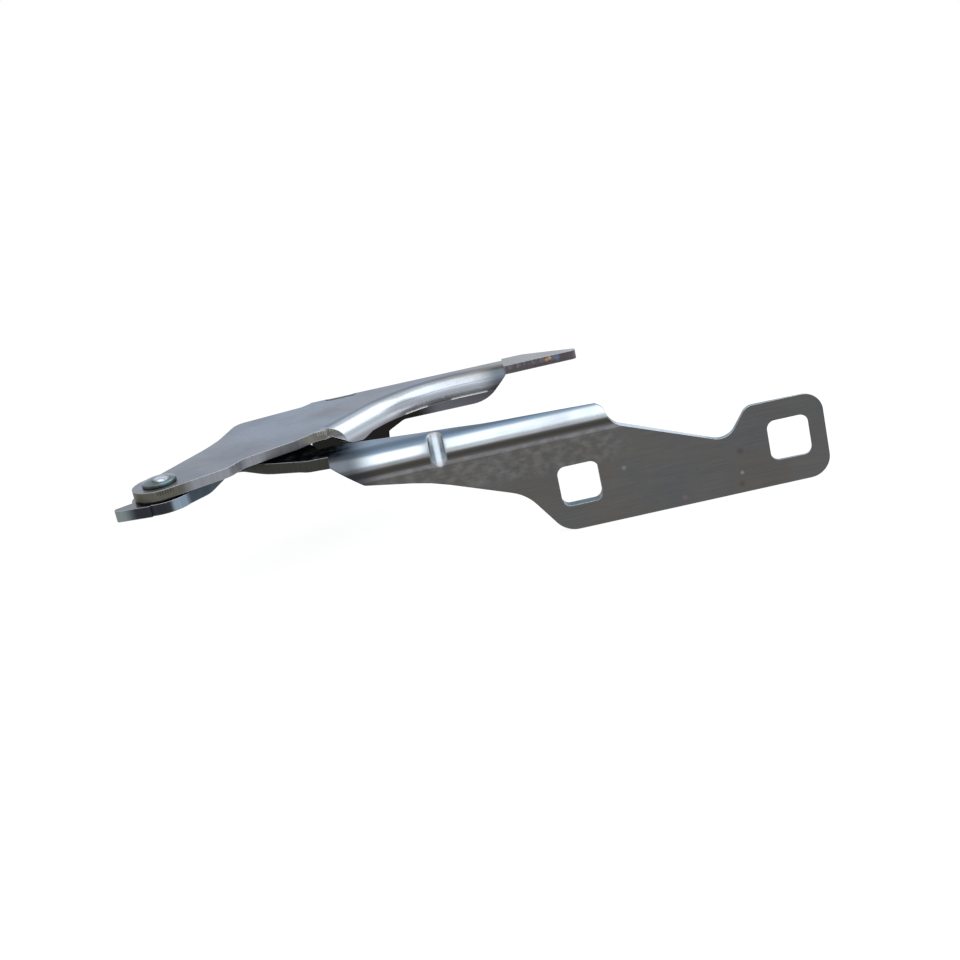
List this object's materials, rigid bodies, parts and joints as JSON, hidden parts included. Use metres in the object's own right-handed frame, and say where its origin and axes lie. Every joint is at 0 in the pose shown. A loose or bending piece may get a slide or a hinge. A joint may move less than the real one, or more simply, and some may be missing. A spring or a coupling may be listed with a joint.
{
  "type": "bonnet hinge",
  "caption": "Stamped steel bonnet hinge: a swan-neck body bracket with square bolt holes, riveted to a swinging bonnet bracket with a curved stiffening lip.",
  "frame": {"origin": "on the body bracket's mounting face, midway between its two square holes", "axes": "+X from the pivot towards the square holes, -Y out of the mounting face, +Z along the pivot towards the rivet head"},
  "size_m": [0.2143, 0.0702, 0.0439],
  "materials": {
    "body_steel": "bare pressed steel, lightly oiled",
    "bonnet_steel": "bare pressed steel, lightly oiled",
    "rivet_steel": "plated, satin",
    "bush_bronze": "sintered bronze, oiled",
    "washer_plastic": "matte"
  },
  "bodies": {
    "body_side": {"body_bracket": "body_steel", "pivot_rivet": "rivet_steel", "thrust_washer": "washer_plastic"},
    "bonnet_side": {"bonnet_bracket": "bonnet_steel", "pivot_bush": "bush_bronze"}
  },
  "joints": [
    {"name": "bonnet_pivot", "type": "hinge", "parent": "body_side", "child": "bonnet_side", "pos_m": [-0.1564, 0.0045, 0.024], "axis": [0, 0, 1], "range_deg": [0, 60]}
  ]
}
